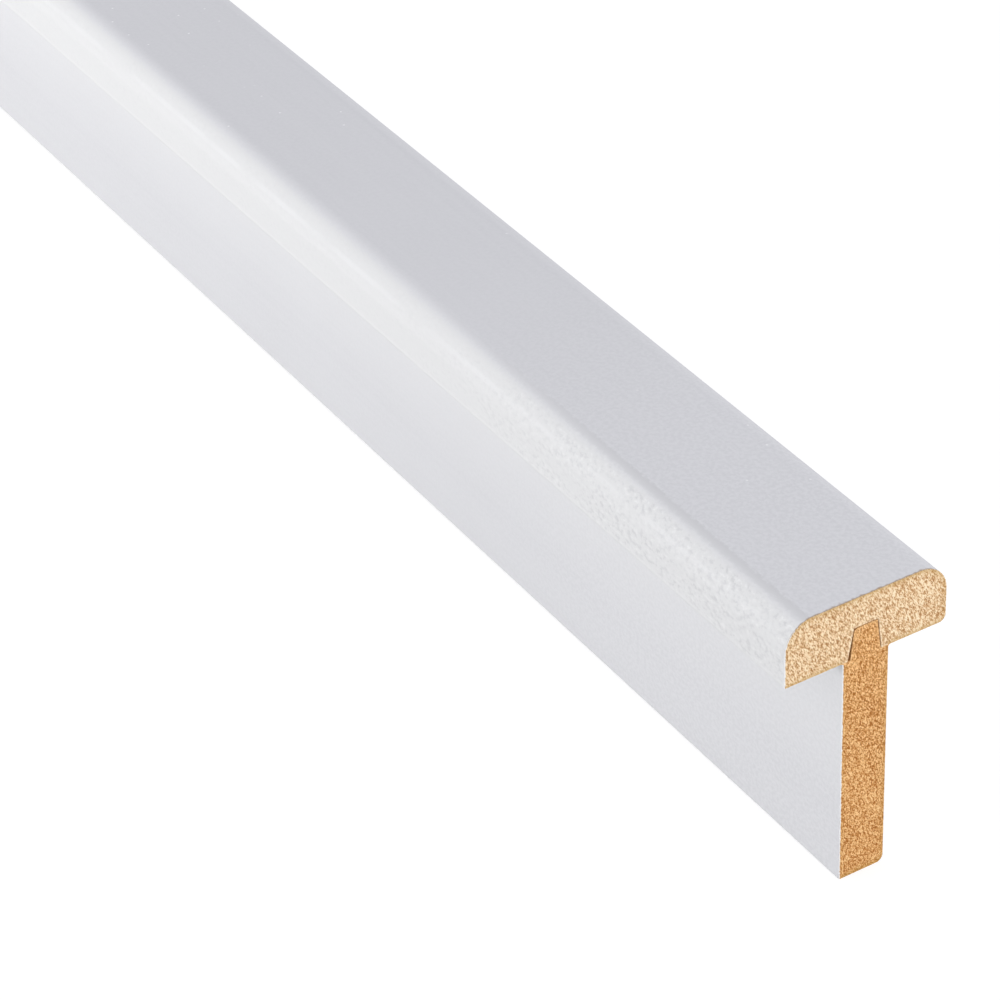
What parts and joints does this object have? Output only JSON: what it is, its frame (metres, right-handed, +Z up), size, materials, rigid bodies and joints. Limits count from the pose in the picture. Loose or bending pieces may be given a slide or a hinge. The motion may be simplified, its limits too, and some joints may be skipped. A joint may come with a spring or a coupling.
{
  "type": "door astragal moulding",
  "caption": "T-shaped astragal moulding for a pair of doors: a round-edged cap strip glued over the tapered tongue of a flat stem, white primed, with raw sawn ends.",
  "frame": {"origin": "On the floor, under the middle of the stick's length and width", "axes": "+X along the stick, +Y across the cap from front to back, +Z up from the stem's foot to the cap"},
  "size_m": [2.1336, 0.0318, 0.0571],
  "materials": {
    "primed_cap": "satin white primer",
    "primed_stem": "satin white primer"
  },
  "bodies": {
    "root": {"cap": "primed_cap", "stem": "primed_stem"}
  },
  "joints": []
}
